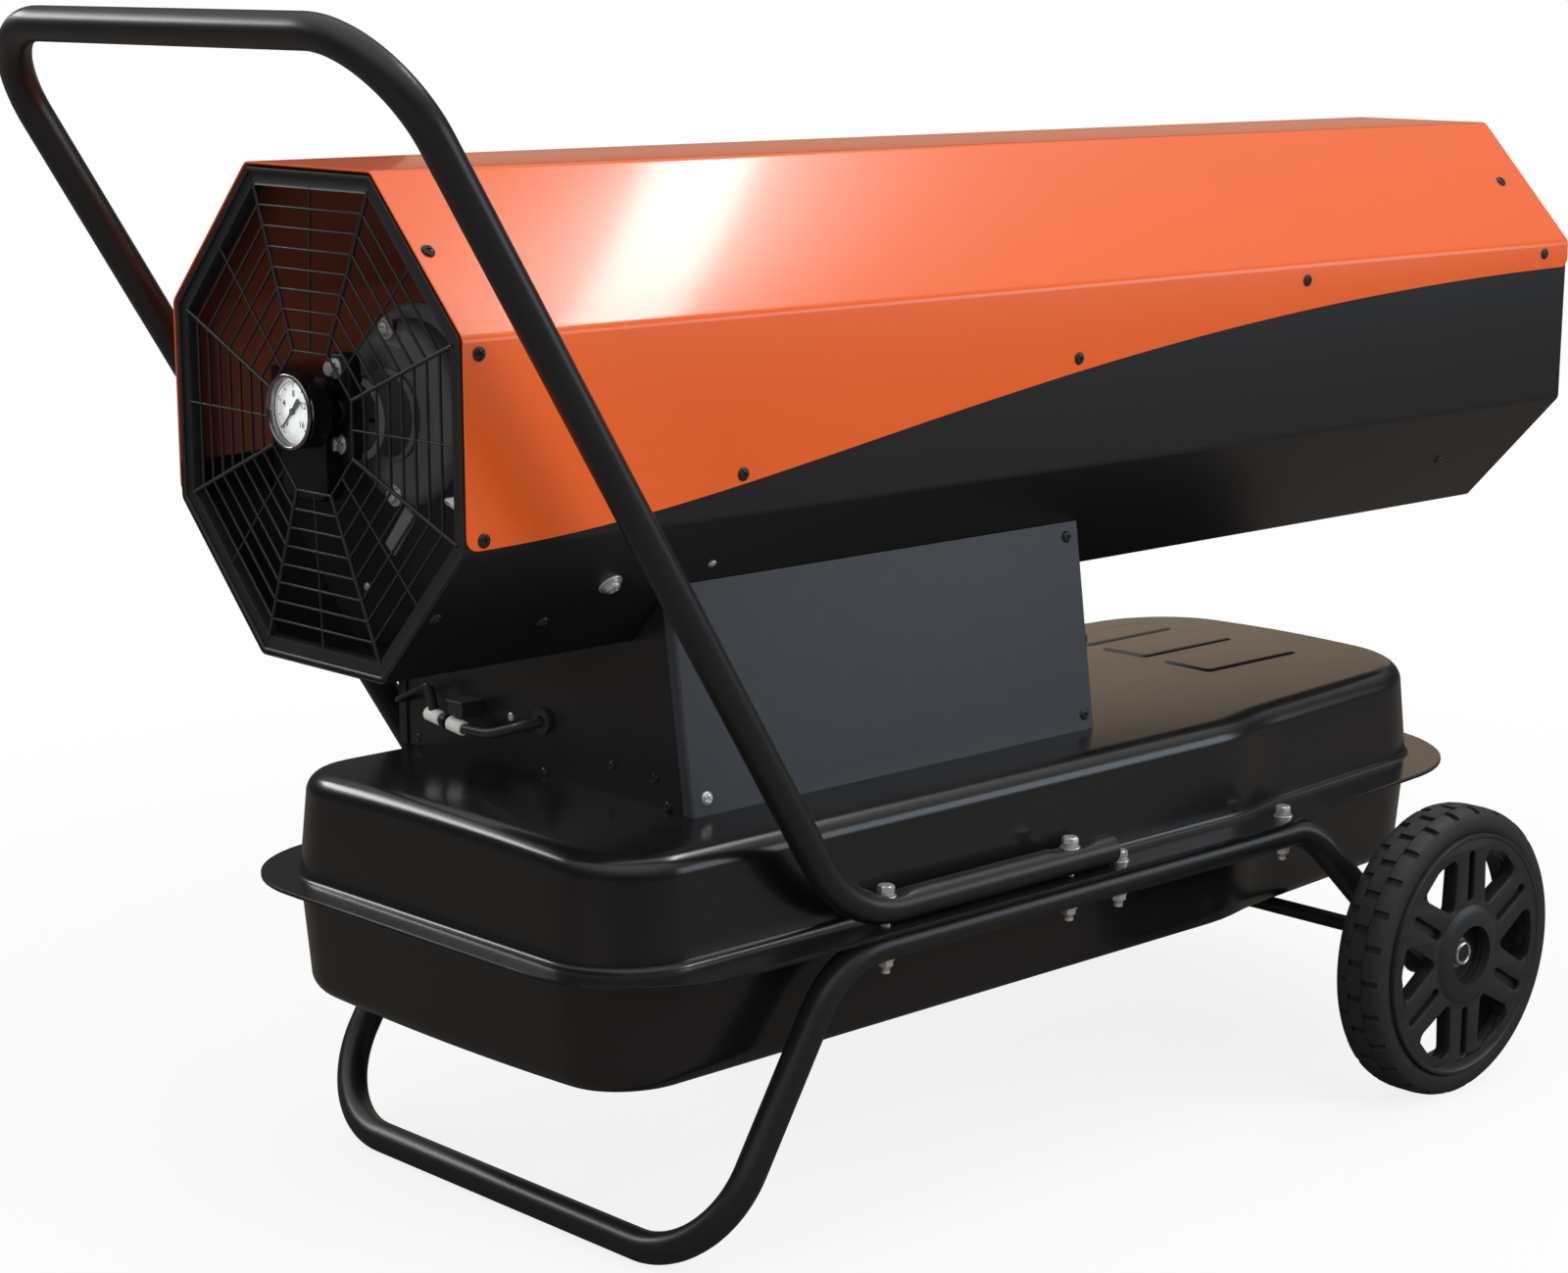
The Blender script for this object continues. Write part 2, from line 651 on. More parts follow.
CAD_FINISH = {
    "upper_shell": "shell orange", "lower_shell": "shell black", "fan_guard": "grille plastic",
    "pressure_gauge": "chrome", "gauge_needle": "dial ink", "gauge_lens": "clear lens",
    "pump_end_cover": "shell black", "pump_body": "cast alloy", "pump_rotor": "turned steel",
    "motor_body": "shell black", "motor_bracket": "shell black", "motor_shaft": "turned steel",
    "fan": "cast alloy", "combustion_chamber": "heated steel", "flame_tube": "heated steel",
    "burner_head": "heated steel", "spark_electrode": "white ceramic", "flame_disc": "heated steel",
    "outlet_ring": "shell black", "box_frame": "shell black", "box_cover": "shell black",
    "control_console": "shell black", "thermostat_knob": "control plastic", "switch_bezel": "control plastic",
    "power_rocker": "control plastic", "display_window": "control plastic", "indicator_lamp": "lamp amber",
    "hose_grommet": "hose rubber", "fuel_hose": "hose rubber", "hose_coupling": "control plastic",
    "hose_clamp_inner": "white nylon", "hose_clamp_outer": "white nylon", "fuel_line": "hose rubber",
    "circuit_board": "board green", "ignition_transformer": "control plastic",
    "mains_gland": "control plastic",
    "tank_upper_pan": "tank black", "tank_lower_pan": "tank black", "filler_neck": "shell black",
    "fuel_cap": "control plastic", "level_gauge": "control plastic", "fuel_float": "white nylon",
    "drain_plug": "bright zinc", "handle_tube": "tube black", "frame_tube": "tube black",
    "axle": "tube black",
    "tyre_near": "tyre rubber", "tyre_far": "tyre rubber", "wheel_near": "wheel plastic",
    "wheel_far": "wheel plastic", "lock_nut_near": "chrome", "lock_nut_far": "chrome",
}


def dress_solids():
    """Gives every carried-over solid its finish and its shading."""
    for name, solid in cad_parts.items():
        finish = FINISH[CAD_FINISH.get(name, "bright zinc")]
        if not solid.data.materials:
            solid.data.materials.append(finish)
        for index in range(len(solid.data.materials)):
            solid.material_slots[index].material = finish
        for face in solid.data.polygons:
            face.use_smooth = True
        solid.data.set_sharp_from_angle(angle=math.radians(28))


# ------------------------------------------------------------------ fasteners
def pan_screw(heap, spot, out, radius=5.2, height=2.6, recess=True, turn=0.4):
    """Round-headed screw with a cross recess, standing on a spot."""
    place = basis(spot, out) @ Matrix.Rotation(turn, 4, "Z")
    rows, sides = 9, 28
    rings = [circle(radius, -0.2, sides, place)]
    for row in range(rows + 1):
        r = radius * (1 - row / rows) + 0.001
        ring = []
        for k in range(sides):
            t = 2 * math.pi * k / sides
            x, y = r * math.cos(t), r * math.sin(t)
            z = height * math.sqrt(max(0, 1 - (0.97 * r / radius) ** 2.6))
            in_arm = min(abs(x), abs(y)) < radius * 0.13 and r < radius * 0.60
            if recess and in_arm:
                z -= height * 0.75 * (1 - r / radius / 0.66)
            ring.append(at(place, x, y, z))
        rings.append(ring)
    heap.rings(rings, True, False, True)


def washer(heap, spot, out, radius, hole, thick):
    """Flat washer lying on a spot."""
    profile = [(hole, 0), (radius, 0), (radius, thick * 0.7), (radius - 0.3, thick), (hole, thick)]
    lathe(heap, profile, basis(spot, out), 32, True)


def spring_washer(heap, spot, out, radius, hole, thick):
    """Split spring washer with its two ends a little apart."""
    place = basis(spot, out)
    chords, gap = 24, 12
    rings = []
    for k in range(chords + 1):
        t = math.radians(gap + (360 - 2 * gap) * k / chords)
        rise = thick * 0.45 * k / chords
        ring = [(hole, rise), (radius, rise), (radius, rise + thick), (hole, rise + thick)]
        rings.append([at(place, r * math.cos(t), r * math.sin(t), z) for r, z in ring])
    heap.rings(rings)


def hex_bolt(heap, spot, out, across, height, turn):
    """Hexagonal head or nut with its turned crown."""
    place = basis(spot, out) @ Matrix.Rotation(turn, 4, "Z")
    sides = 48
    crown = across / 2 * 0.93
    rings = []
    for z, share_flat in ((0, 1.0), (height * 0.82, 1.0), (height, 0.0)):
        ring = []
        for k in range(sides):
            t = 2 * math.pi * k / sides
            flat = across / 2 / math.cos((t + math.pi / 6) % (math.pi / 3) - math.pi / 6)
            r = flat * share_flat + crown * (1 - share_flat)
            ring.append(at(place, r * math.cos(t), r * math.sin(t), z))
        rings.append(ring)
    heap.rings(rings)


# ------------------------------------------------------------------ housing
def wave(x):
    """Height of the upper shell's sweeping edge at x, both in mm: a smooth curve with rounded corners."""
    low_end, high_end, corner = -71.0, 50.0, 9.0
    points = ((0.0, low_end), (0.23 * SHELL_LENGTH, low_end),
              (0.46 * SHELL_LENGTH, 45.0), (SHELL_LENGTH, high_end))

    def curve(t, way):
        """Point of the curve: its x for way 0, its height for way 1."""
        a, b, c, d = (point[way] for point in points)
        return (1 - t) ** 3 * a + 3 * (1 - t) ** 2 * t * b + 3 * (1 - t) * t ** 2 * c + t ** 3 * d

    low, high = 0.0, 1.0
    for _ in range(40):
        t = (low + high) / 2
        low, high = (t, high) if curve(t, 0) < x else (low, t)
    z = curve(t, 1)
    for gap in (x, SHELL_LENGTH - x):
        if gap < corner:
            z += corner - math.sqrt(max(0, corner ** 2 - (corner - gap) ** 2))
    return z


def shell_line(amount, fold, upper, edge_z):
    """Half of the octagon between two side edges at one height, as (y, z) points in mm."""
    corners = octagon(amount)
    side = HALF_WIDTH - amount
    way = 1 if upper else -1
    chosen = [p for p in rounded(corners, fold, 9.0) if way * p.y > HALF_SIDE - fold * 1.2]
    chosen.sort(key=lambda p: math.atan2(way * p.y, p.x))
    return [Vector((side, edge_z))] + chosen + [Vector((-side, edge_z))]


def folded_shell(name, amount, sheet, fold, upper, raise_by, finish):
    """One folded half of the housing, with thickness and a slightly rolled edge."""
    ends, bays = (0, 0.6, 1.5, 3, 5, 7, 9, 12), 84
    stations = [*ends]
    stations += [ends[-1] + (SHELL_LENGTH - 2 * ends[-1]) * k / bays for k in range(1, bays)]
    stations += [SHELL_LENGTH - s for s in reversed(ends)]
    outer, inner = [], []
    for x in stations:
        z = wave(x)
        if not upper:
            z = min(wave(min(max(x, 20), SHELL_LENGTH - 20)) + raise_by, HALF_SIDE - 9)
        outer.append([here(x, p.x, p.y) for p in shell_line(amount, fold, upper, z)])
        inner.append([here(x, p.x, p.y) for p in shell_line(amount + sheet, max(fold - sheet, 1), upper, z)])
    heap = Heap()
    heap.rings([line + back[::-1] for line, back in zip(outer, inner)])
    return heap.make(name, FINISH[finish], edge=0.35, rows=1, sharp=50)


def make_shells(settings):
    """Both folded halves of the housing."""
    sheet, fold, overlap = settings.sheet / MM, settings.fold / MM, settings.overlap / MM
    upper = folded_shell("upper_shell_sheet", 0, sheet, fold, True, 0, "shell orange")
    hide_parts("upper_shell")
    upper.data.materials.append(FINISH["shell inside"])
    axis = Vector((0, 0, AXIS))
    for face in upper.data.polygons:
        radial = Vector((0, face.center.y, face.center.z)) - axis
        if face.normal.dot(radial) < 0 and abs(face.normal.x) < 0.5:
            face.material_index = 1
    inside = sheet + SHEET_GAP
    lower = folded_shell("lower_shell_sheet", inside, sheet, fold - sheet, False, overlap, "shell black")
    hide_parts("lower_shell")


def make_housing_screws():
    """Black screws along the housing, with the silver bolt and stud under the handle."""
    heap = Heap()
    on_side = ((13, 63), (14, -64), (252, -42), (615, 15), (906, 60), (1261, 64))
    for side in (-1, 1):
        for x, z in on_side:
            pan_screw(heap, here(x, side * HALF_WIDTH, z), (0, side, 0), turn=0.3 + x)
        for x in (11, SHELL_LENGTH - 41):
            pan_screw(heap, here(x, side * 124, 128), facing(side, 1), turn=x)
    for side in (-1, 1):
        for x, y in ((9, 125), (118, 107), (1183, 122)):
            pan_screw(heap, slant(x, side * y, -1), facing(side, -1), 4.8, 2.4, turn=x)
    heap.make("housing_screws", FINISH["screw black"], sharp=40)
    silver = Heap()
    spot, out = slant(162, -131, -1), Vector(facing(-1, -1)).normalized()
    washer(silver, spot, out, 9.5, 4.2, 1.2)
    spring_washer(silver, spot + out * 1.2 * MM, out, 7.0, 4.2, 1.5)
    pan_screw(silver, spot + out * 3.2 * MM, out, 6.0, 3.4, turn=0.6)
    pan_screw(silver, slant(257, -135, -1), out, 3.4, 2.0, recess=False)
    silver.make("housing_ground_bolt", FINISH["bright zinc"], sharp=40)


def facing(side, up):
    """Way that a slanted face of the housing looks: near (-1) or far (1) side, down (-1) or up (1)."""
    return (0, side * (HALF_HEIGHT - HALF_SIDE), up * (HALF_WIDTH - HALF_TOP))


def slant(x, y, way):
    """Point on a slanted face of the housing: way is -1 on a lower one and 1 on an upper one."""
    shrink = 1.8 if way < 0 else 0.0  # the lower shell lies inside the upper one
    rise = (HALF_HEIGHT - HALF_SIDE) / (HALF_WIDTH - HALF_TOP)
    z = HALF_SIDE + rise * (HALF_WIDTH - abs(y)) - shrink * math.hypot(1, rise)
    return here(x, y, way * z)


# ------------------------------------------------------------------ fan guard
def soft_section(left, right, depth, soft):
    """Section of a bar with cut corners, as (across, x) in mm."""
    return [(left, soft), (left + soft, 0), (right - soft, 0), (right, soft),
            (right, depth - soft), (right - soft, depth), (left + soft, depth), (left, depth - soft)]


def octagon_bar(heap, half, width, front, depth):
    """Octagonal ring bar with softened edges, at a half height from the centre."""
    rings = []
    for grow, x in soft_section(0, width, depth, min(width, depth) * 0.28):
        rings.append([here(front + x, p.x, p.y) for p in octagon(0, (half + grow) / HALF_HEIGHT)])
    rings.append(rings[0])
    heap.rings(rings, True, False, False)


def bar(heap, start, end, width, front, back, depth):
    """Straight bar of the guard between two (y, z) points, from one place along x to another."""
    start, end = Vector(start), Vector(end)
    along = (end - start).normalized()
    side = Vector((-along.y, along.x))
    section = soft_section(-width / 2, width / 2, depth, min(width, depth) * 0.28)
    rings = []
    for point, x in ((start, front), (end, back)):
        rings.append([here(x + deep, *(point + side * across)) for across, deep in section])
    heap.rings(rings)


def make_guard():
    """Octagonal grille: rim, eight rings, eight corner spokes and eight thin ones, a little domed."""
    web = Heap()
    rim_in, hub, dome, count = 16.6, 49.0, 4.0, 8
    pitch = (HALF_HEIGHT - rim_in - hub) / count
    for i in range(count):
        octagon_bar(web, hub + i * pitch, 1.7, 1.6 - dome * (1 - i / count), 2.2)
    inner, outer = octagon(0, (hub + 0.8) / HALF_HEIGHT), octagon(rim_in - 2)
    for i in range(8):
        bar(web, inner[i], outer[i], 2.5, 1.2 - dome, 1.2, 3.0)
        middle = (inner[i] + inner[(i + 1) % 8]) / 2
        rim_middle = (outer[i] + outer[(i + 1) % 8]) / 2
        bar(web, middle, rim_middle, 1.3, 1.8 - dome, 1.8, 1.8)
    piece = web.make("fan_guard_web", FINISH["grille plastic"], sharp=50)
    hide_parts("fan_guard")
    rim = Heap()
    profile = [(3.8, 0.8), (4.6, 0.0), (6.2, 0.0), (7.0, 0.8), (7.0, 2.6), (14.6, 2.6),
               (16.2, 1.6), (rim_in, 2.4), (rim_in, 11.4), (16.0, 12.0), (4.4, 12.0), (3.8, 11.4)]
    rings = []
    for amount, x in profile:
        rings.append([here(x, p.x, p.y) for p in rounded(octagon(amount), max(9 - amount, 1.5), 15)])
    rings.append(rings[0])
    rim.rings(rings, True, False, False)
    rim.make("fan_guard_rim", FINISH["grille plastic"], sharp=40)


# ------------------------------------------------------------------ gauge, pump and motor
DIAL_START, DIAL_SWEEP = 225.0, 270.0  # degrees, clockwise from the lower left


def dial_angle(part):
    """Angle in radians at a part of the gauge's scale, from 0 to 1."""
    return math.radians(DIAL_START - DIAL_SWEEP * part)


def make_gauge():
    """Pressure gauge: dark case, chrome ring, white dial with its scale and a needle."""
    place = basis(here(0, 17, 7), (-1, 0, 0))
    case = Heap()
    profile = [(24.4, 3.4), (24.4, 6.0), (27.0, 6.0), (27.0, -9.0), (25.5, -10.6), (2, -11), (2, 3.4)]
    lathe(case, profile, place, 72, True)
    shell = case.make("gauge_case", FINISH["pump black"], sharp=50)
    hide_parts("pressure_gauge")
    ring = Heap()
    profile = [(23.6, 4.2), (24.3, 9.4), (24.9, 10.5), (25.9, 11), (26.9, 10.6), (27.5, 9.4), (27.5, 6.2),
               (27.2, 5.8), (24.6, 5.8), (24.6, 4.2)]
    lathe(ring, profile, place, 72, True)
    ring.make("gauge_ring", FINISH["dark chrome"], sharp=50)
    dial = Heap()
    lathe(dial, [(0, 3.6), (23.8, 3.6), (23.8, 4.0), (0, 4.0)], place, 72)
    dial.make("gauge_dial", FINISH["dial white"])
    make_gauge_scale(place)
    needle = Heap()
    tip = place @ degrees(DIAL_START)
    shape = [(-12, -2.2), (-7, -2.0), (0, -1.0), (18.5, -0.45), (18.5, 0.45), (0, 1.0), (-7, 2.0), (-12, 2.2)]
    needle.rings([[at(tip, x, y, z) for x, y in shape] for z in (5.6, 6.1)])
    lathe(needle, [(2.4, 5.2), (2.4, 6.6), (1.6, 7.2), (0, 7.4)], place, 24)
    hand = needle.make("gauge_needle_hand", FINISH["dial ink"], "needle", sharp=30)
    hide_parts("gauge_needle")


def make_gauge_scale(place):
    """Marks, arc and plain numbers of the gauge's scale."""
    ink = Heap()
    marks, numbers, rim, bottom, top = 40, ("0", "4", "8", "12", "16"), 21.4, 3.95, 4.1
    for k in range(marks + 1):
        turned = place @ Matrix.Rotation(dial_angle(k / marks), 4, "Z")
        long = k % 5 == 0
        inner, half = (17.0, 0.45) if long else (19.2, 0.2)
        box_form(ink, (inner, -half, bottom), (rim, half, 4.12), turned)
    band = [(rim, bottom), (21.8, bottom), (21.8, top), (rim, top)]
    arc = []
    for k in range(49):
        t = dial_angle(k / 48)
        arc.append([at(place, r * math.cos(t), r * math.sin(t), z) for r, z in band])
    ink.rings(arc)
    ink.make("gauge_scale", FINISH["dial ink"], sharp=20)
    for k, number in enumerate(numbers):
        t = dial_angle(k / (len(numbers) - 1))
        letters = bpy.data.curves.new("gauge_number", "FONT")
        letters.body = number
        letters.size = 6.6 * MM
        letters.offset = 0.14 * MM
        letters.align_x = "CENTER"
        letters.align_y = "CENTER"
        letters.extrude = 0.05 * MM
        mesh = mesh_of(letters)
        spot = Vector((12.6 * math.cos(t), 12.6 * math.sin(t), 4.05)) * MM
        mesh.transform(place @ Matrix.Translation(spot))
        settle(f"gauge_number_{number}", mesh, FINISH["dial ink"])


def facing_plate(heap, corners, radius, front, depth):
    """Plate across the housing's axis with rounded corners and softened front rim, corners as (y, z)."""
    rings = []
    for amount, x in ((2.4, 0.0), (1.2, 0.35), (0.35, 1.2), (0.0, 2.4), (0.0, depth)):
        outline = rounded(inset(corners, amount), max(radius - amount, 1), 12)
        rings.append([here(front + x, p.x, p.y) for p in outline])
    heap.rings(rings)


def make_pump():
    """Vane pump: dark block behind the gauge, its bolted flange, a round plug and the body on the motor."""
    cover = Heap()
    block = [(60, -60), (60, 31), (5, 31), (5, -60)]
    facing_plate(cover, block, 12, 12.5, 16)
    flange = [(22, -32), (22, 47), (-6, 47), (-6, -32)]
    facing_plate(cover, flange, 10, 27, 10.7)
    lathe(cover, [(9, -28), (9, -21), (8, -19.6), (3, -19.6), (2.6, -20.6), (0, -20.6)],
          basis(here(0, 0, 6), (-1, 0, 0)), 36)
    front = cover.make("pump_cover_block", FINISH["pump black"], sharp=40)
    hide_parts("pump_end_cover")
    body = Heap()
    lathe(body, [(27, -38), (30, -40), (30, -64), (34, -65), (34, -67.7), (25, -67.7), (25, -38)],
          basis(here(0, 0, 0), (-1, 0, 0)), 64, True)
    drum = body.make("pump_body_drum", FINISH["motor grey"], sharp=40)
    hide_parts("pump_body")


def make_motor():
    """Motor with its domed end bell, a stepped waist, cooling ribs and a blank rating strip below."""
    place = basis(here(0, 0, 0), (-1, 0, 0))
    body = Heap()
    boss = [(7.4, -68), (22, -68), (23, -69.4), (30, -69.4), (31, -68.2), (50, -68.2), (52, -69.6)]
    bell = [(58, -70.4), (63, -73), (66.5, -77), (68, -81.5), (68, -90), (70, -91), (77, -92), (79.5, -94.5)]
    case = [(79.5, -98), (76, -99), (74, -104), (74, -196), (70, -206), (60, -214), (40, -217), (7.4, -218)]
    lathe(body, boss + bell + case, place, 96, True)
    ribs = 24
    for k in range(ribs):
        box_form(body, (72, -1.1, -192), (77, 1.1, -106), place @ spin(k, ribs))
    case = body.make("motor_case", FINISH["motor grey"], sharp=35, edge=0.4, rows=1)
    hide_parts("motor_body")
    strip = Heap()
    low, high = Vector((24, -103.5)), Vector((-3, -72.0))
    along = (high - low).normalized()
    side = Vector((-along.y, along.x)) * 7.0
    facing_plate(strip, [low - side, high - side, high + side, low + side], 2, 79, 3)
    strip.make("motor_rating_strip", FINISH["plate grey"], sharp=40)
    tab = Heap()
    facing_plate(tab, [(-60, -66), (-44, -61), (-44, -57), (-60, -54)], 1, 79.5, 3)
    tab.make("intake_tab", FINISH["white nylon"], sharp=40)


def make_motor_details():
    """Bolts of the pump and the motor and a small screw on the cross plate."""
    silver = Heap()
    out = Vector((-1, 0, 0))
    for y, z in ((9.5, 36), (6.3, -18)):
        spot = here(27, y, z)
        washer(silver, spot, out, 7.6, 3, 1.4)
        spring_washer(silver, spot + out * 1.4 * MM, out, 5.6, 3, 1.3)
        hex_bolt(silver, spot + out * 2.9 * MM, out, 10, 4.6, turn=z)
    for y, z in ((5, 62), (0, -59)):
        spot = here(69.6, y, z)
        washer(silver, spot, out, 8.2, 3, 1.4)
        washer(silver, spot + out * 1.4 * MM, out, 6.4, 3, 1.3)
        pan_screw(silver, spot + out * 2.7 * MM, out, 5.5, 3.4, turn=y)
    pan_screw(silver, here(81.9, 54.8, -135.6), out, 3.4, 2.0, recess=False)
    silver.make("motor_bolts", FINISH["bright zinc"], sharp=35)


# ------------------------------------------------------------------ support box
LEAN_FOOT, LEAN_HEAD = Vector((-145.0, -305.7)), Vector((-121.0, -129.1))


def cover_point(share_x, share_up):
    """Point on the near cover: shares along its length and up its lean."""
    spot = LEAN_FOOT.lerp(LEAN_HEAD, share_up)
    return here(BOX_X + COVER_LENGTH * share_x, spot.x, spot.y)


def make_cover():
    """Near cover of the box: a leaning sheet with a return folded in at each end."""
    fold, wall = 10.0, 1.2

    def section(amount, radius):
        """Line across the sheet, seen from above, inset by an amount."""
        ends = amount, COVER_LENGTH - amount
        turned = [(ends[0], fold), (ends[0], amount), (ends[1], amount), (ends[1], fold)]
        return rounded(turned, [0, radius, radius, 0], 15)

    line = section(0.0, 2.4) + section(wall, 1.2)[::-1]
    foot = [here(BOX_X + p.x, LEAN_FOOT.x + p.y, LEAN_FOOT.y) for p in line]
    slope = (HALF_HEIGHT - HALF_SIDE) / (HALF_WIDTH - HALF_TOP)
    head = [here(BOX_X + p.x, LEAN_HEAD.x + p.y, LEAN_HEAD.y - slope * p.y) for p in line]
    heap = Heap()
    heap.rings([foot, head])
    piece = heap.make("box_cover_sheet", FINISH["cover black"], edge=0.5)
    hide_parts("box_cover")


def make_box_details():
    """Screws of the cover, the front wall and the far side, below the console."""
    lean = (LEAN_HEAD - LEAN_FOOT).normalized()
    out = Vector((0, -lean.y, lean.x))
    heap = Heap()
    for u, v in ((0.965, 0.93), (0.975, 0.09), (0.035, 0.93)):
        pan_screw(heap, cover_point(u, v), out, 5.0, 2.5, turn=u * 9)
    for y, z in ((196, -299), (33, -299), (-50, -279), (-100, -280), (-115, -299)):
        pan_screw(heap, here(FRONT_WALL, y, z), (-1, 0, 0), 3.8, 2.0, turn=y)
    for x in (250, 400, 560, 655):
        pan_screw(heap, here(x, 219, -290), (0, 1, 0), 4.4, 2.2, turn=x)
    heap.make("box_screws", FINISH["screw black"], sharp=35)
    bright = Heap()
    pan_screw(bright, cover_point(0.035, 0.09), out, 5.4, 2.8, turn=0.5)
    pan_screw(bright, here(FRONT_WALL, 73, -261), (-1, 0, 0), 3.6, 2.0, turn=0.3)
    bright.make("box_bright_screws", FINISH["bright zinc"], sharp=35)


# ------------------------------------------------------------------ hose on the front wall
def make_hose():
    """Short fuel hose with its coupling, clamps, elbow and thin line, held on the front wall."""
    plane = 212.0
    corners = [here(258, 32, -258), here(plane, 32, -258), here(plane, 78, -273), here(plane, 112, -274)]
    heap = Heap()
    heap.rings(tube_rings(bend_path(corners, [0.014, 0.060], 8, 0.005), 4.0 * MM, 20))
    hose = heap.make("fuel_hose_tube", FINISH["hose rubber"])
    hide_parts("fuel_hose")
    low, high = here(plane, 111, -274.3), here(plane, 158, -268.8)
    along = (high - low).normalized()
    place = basis(low, along)
    link = Heap()
    profile = [(0, 4), (4.4, 4), (4.4, 21), (6.0, 21.6), (6.0, 26.4), (4.4, 27), (4.4, 44), (0, 44)]
    lathe(link, profile, place, 28)
    joint = link.make("hose_coupling_body", FINISH["pump black"], sharp=40)
    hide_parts("hose_coupling")
    for name, start in (("hose_clamp_inner", 0.0), ("hose_clamp_outer", 29.0)):
        clip = Heap()
        sleeve = [(4.3, 0), (5.4, 0), (6.0, 0.7), (6.0, 17.3), (5.4, 18), (4.3, 18)]
        lathe(clip, sleeve, basis(low + along * start * MM, along), 36, True)
        band = clip.make(name + "_sleeve", FINISH["white nylon"], sharp=50)
        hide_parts(name)
    line = Heap()
    thick = [here(plane, 150, -269), here(plane, 152, -259), here(plane, 157.5, -248)]
    line.rings(tube_rings(bend_path(thick, [0.020], 8, 0.004), 4.2 * MM, 20))
    route = [here(plane, 157, -249), here(plane, 160, -246.5), here(plane, 203, -266), here(250, 203, -266)]
    line.rings(tube_rings(bend_path(route, [0.002, 0.006], 10, 0.005), 2.2 * MM, 16))
    thin = line.make("fuel_line_tube", FINISH["hose rubber"])
    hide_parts("fuel_line")
    block = Heap()
    back = FRONT_WALL - 0.2
    for start, end in (((208, 108, -264.5), (back, 127, -253.5)), ((206.5, 107, -254.5), (back, 128, -252))):
        box_form(block, start, end, Matrix.Translation(here(0, 0, 0)))
    block.make("hose_clip_block", FINISH["control plastic"], edge=0.6)


# ------------------------------------------------------------------ control console
CONSOLE_FOOT, CONSOLE_HEAD = Vector((219.0, -213.7)), Vector((150.0, -99.904))


def panel(u, v=0.0):
    """Place on the sloping control panel: u mm towards the fan end, v mm up the slope."""
    up = (CONSOLE_HEAD - CONSOLE_FOOT).normalized()
    middle = (CONSOLE_FOOT + CONSOLE_HEAD) / 2 + up * v
    return basis(here(BOX_X + COVER_LENGTH / 2 - u, middle.x, middle.y), (0, up.y, -up.x), (0, up.x, up.y))


def make_controls():
    """Scale round the thermostat, pointer, switch marks, display glass, lamp lens and panel screws."""
    marks = Heap()
    knob, low, high = panel(120), 0.02, 0.16
    for k in range(11):
        box_form(marks, (23, -0.45, low), (27.5, 0.45, high), knob @ degrees(225 - 27 * k))
    switch = panel(30)
    box_form(marks, (-0.5, 20, low), (0.5, 25, high), switch)
    ring = [(2.1, low), (2.9, low), (2.9, high), (2.1, high)]
    lathe(marks, ring, switch @ Matrix.Translation((0, -22.5 * MM, 0)), 24, True)
    lathe(marks, ring, panel(-140, 15), 24, True)
    marks.make("panel_marks", FINISH["mark white"], sharp=20)
    pointer = Heap()
    box_form(pointer, (9, -0.8, 17.9), (13.2, 0.8, 18.25), knob @ degrees(225))
    pointer.make("thermostat_pointer", FINISH["mark white"], "knob")
    window = panel(-70)
    digits = Heap()
    for x in (-14, 2, 18):
        for y in (-9, 0, 9):
            box_form(digits, (x - 4, y - 0.6, 1.25), (x + 4, y + 0.6, 1.36), window)
    digits.make("display_segments", FINISH["dial ink"])
    glass = Heap()
    box_form(glass, (-33.4, -14.4, 1.7), (33.4, 14.4, 2.3), window)
    glass.make("display_glass", FINISH["clear lens"], edge=0.2, rows=1)
    screws = Heap()
    for u in (-212, 212):
        for v in (-56, 56):
            spot = panel(u, v)
            pan_screw(screws, spot.translation, spot.to_3x3() @ Vector((0, 0, 1)), 4.4, 2.2, turn=u)
    screws.make("console_screws", FINISH["screw black"], sharp=35)


# ------------------------------------------------------------------ tank
def pan_plan(amount=0.0):
    """Plan of the tank's wall in mm, inset by an amount; the flange is narrower at its ends."""
    spare = max(-amount, 0)
    start = 91.0 + spare * (1 - FRONT_REACH / REACH)
    end = 1136.0 - spare * (1 - REAR_REACH / REACH)
    near = [(start, -TANK_HALF), (790, -TANK_HALF), (840, -TANK_HALF + 12), (end - 6, -176.0)]
    far = [(x, -y) for x, y in reversed(near)]
    sizes = [70, 160, 160, 105, 620, 105, 160, 160, 70]
    outline = inset(near + [(end, 0)] + far, amount)
    return rounded(outline, [max(size - amount, 8) for size in sizes], 6.0)


def crowned(y, crown):
    """How far a pressed face is arched at a distance from the middle of the tank."""
    return crown * (1 - (y / TANK_HALF) ** 2)


def pan_ring(amount, z, crown=0.0):
    """Ring of the tank's plan at a height above the floor, arched across the tank by a crown."""
    base, moved = pan_plan(), pan_plan(amount)
    ring = []
    for i, point in enumerate(moved):
        after = (i + 1) % len(moved)
        parts = max(1, round((base[after] - base[i]).length / 14))
        ring.extend(point.lerp(moved[after], k / parts) for k in range(parts))
    return [ground(p.x, p.y, z + crowned(p.y, crown)) for p in ring]


